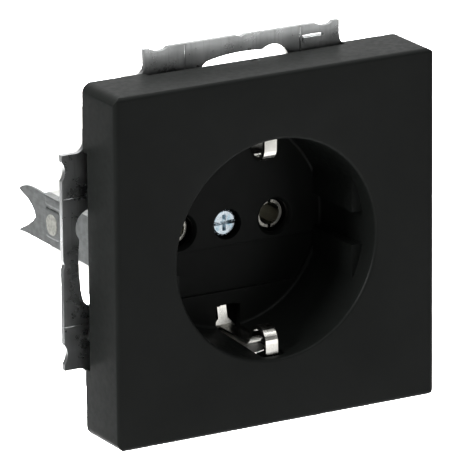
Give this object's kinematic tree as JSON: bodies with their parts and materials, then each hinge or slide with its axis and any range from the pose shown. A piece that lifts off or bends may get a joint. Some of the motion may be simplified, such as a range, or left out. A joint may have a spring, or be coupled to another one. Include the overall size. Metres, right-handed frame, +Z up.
{
  "type": "wall socket insert",
  "caption": "Flush-mounted earthed wall socket insert with a square centre plate, round plug well, side earth clips, sheet support ring and spreading claws.",
  "frame": {"origin": "centre of the support ring's rear face, which lies on the wall", "axes": "+Z up, +Y back into the wall, +X to the right seen from the front; the plug arrives along +Y"},
  "size_m": [0.071, 0.0455, 0.071],
  "materials": {
    "cover_plate": "fine matt moulded black thermoplastic",
    "well_floor": "fine matt moulded black thermoplastic",
    "cover_screw": "blue zinc-plated steel screw",
    "support_ring": "galvanised sheet steel",
    "ring_rivets": "zinc-plated rivets",
    "base_body": "cream-white thermoset, slightly glossy",
    "contact_cover": "black moulded insulator",
    "contact_cover_screws": "zinc-plated screws",
    "threaded_bush": "turned brass",
    "earth_bow": "bright nickel-plated spring strip",
    "contact_left": "nickel-plated contact bronze",
    "contact_right": "nickel-plated contact bronze",
    "contact_spring_left": "spring steel",
    "contact_spring_right": "spring steel",
    "clamp_spring_left": "stainless spring leaf",
    "clamp_spring_right": "stainless spring leaf",
    "clamp_spring_earth": "stainless spring leaf",
    "release_left": "orange moulded button",
    "release_right": "orange moulded button",
    "release_earth": "orange moulded button",
    "claw_left": "galvanised pressed steel",
    "claw_right": "galvanised pressed steel",
    "claw_stud_left": "staked steel stud",
    "claw_stud_right": "staked steel stud",
    "claw_nut_left": "zinc-plated nut",
    "claw_nut_right": "zinc-plated nut",
    "claw_screw_left": "zinc-plated steel screw",
    "claw_screw_right": "zinc-plated steel screw",
    "claw_pins": "steel pins"
  },
  "bodies": {
    "base": {"support_ring": "support_ring", "ring_rivets": "ring_rivets", "base_body": "base_body", "contact_cover": "contact_cover", "contact_cover_screws": "contact_cover_screws", "threaded_bush": "threaded_bush", "earth_bow": "earth_bow", "contact_left": "contact_left", "contact_right": "contact_right", "contact_spring_left": "contact_spring_left", "contact_spring_right": "contact_spring_right", "clamp_spring_left": "clamp_spring_left", "clamp_spring_right": "clamp_spring_right", "clamp_spring_earth": "clamp_spring_earth", "claw_pins": "claw_pins"},
    "cover": {"cover_plate": "cover_plate", "well_floor": "well_floor"},
    "cover_screw": {"cover_screw": "cover_screw"},
    "claw_left": {"claw_left": "claw_left", "claw_stud_left": "claw_stud_left"},
    "claw_nut_left": {"claw_nut_left": "claw_nut_left"},
    "claw_screw_left": {"claw_screw_left": "claw_screw_left"},
    "claw_right": {"claw_right": "claw_right", "claw_stud_right": "claw_stud_right"},
    "claw_nut_right": {"claw_nut_right": "claw_nut_right"},
    "claw_screw_right": {"claw_screw_right": "claw_screw_right"},
    "release_left": {"release_left": "release_left"},
    "release_right": {"release_right": "release_right"},
    "release_earth": {"release_earth": "release_earth"}
  },
  "joints": [
    {"name": "cover_lift", "type": "slide", "parent": "base", "child": "cover", "axis": [0, -1, 0], "range_m": [0, 0.022]},
    {"name": "cover_screw_turn", "type": "hinge", "parent": "cover", "child": "cover_screw", "pos_m": [0, 0.01, 0], "axis": [0, 1, 0], "continuous": true},
    {"name": "claw_screw_left_turn", "type": "hinge", "parent": "base", "child": "claw_screw_left", "pos_m": [-0.0235, 0, 0], "axis": [0, 1, 0], "range_deg": [0, 7200]},
    {"name": "claw_nut_left_travel", "type": "slide", "parent": "base", "child": "claw_nut_left", "axis": [0, -1, 0], "range_m": [0, 0.01]},
    {"name": "claw_left_swing", "type": "hinge", "parent": "base", "child": "claw_left", "pos_m": [-0.0262, 0.0024, 0], "axis": [0, 0, 1], "range_deg": [0, 16.01]},
    {"name": "claw_screw_right_turn", "type": "hinge", "parent": "base", "child": "claw_screw_right", "pos_m": [0.0235, 0, 0], "axis": [0, 1, 0], "range_deg": [0, 7200]},
    {"name": "claw_nut_right_travel", "type": "slide", "parent": "base", "child": "claw_nut_right", "axis": [0, -1, 0], "range_m": [0, 0.01]},
    {"name": "claw_right_swing", "type": "hinge", "parent": "base", "child": "claw_right", "pos_m": [0.0262, 0.0024, 0], "axis": [0, 0, -1], "range_deg": [0, 16.01]},
    {"name": "release_left_press", "type": "slide", "parent": "base", "child": "release_left", "axis": [0, -1, 0], "range_m": [0, 0.002], "stiffness_N_per_m": 300},
    {"name": "release_right_press", "type": "slide", "parent": "base", "child": "release_right", "axis": [0, -1, 0], "range_m": [0, 0.002], "stiffness_N_per_m": 300},
    {"name": "release_earth_press", "type": "slide", "parent": "base", "child": "release_earth", "axis": [0, -1, 0], "range_m": [0, 0.002], "stiffness_N_per_m": 300}
  ],
  "couplings": [
    {"joint": "claw_screw_left_turn", "follows": "claw_nut_left_travel", "rad_per_m": 12566},
    {"joint": "claw_left_swing", "follows": "claw_nut_left_travel", "rad_per_m": 27.925},
    {"joint": "claw_screw_right_turn", "follows": "claw_nut_right_travel", "rad_per_m": 12566},
    {"joint": "claw_right_swing", "follows": "claw_nut_right_travel", "rad_per_m": 27.925}
  ]
}
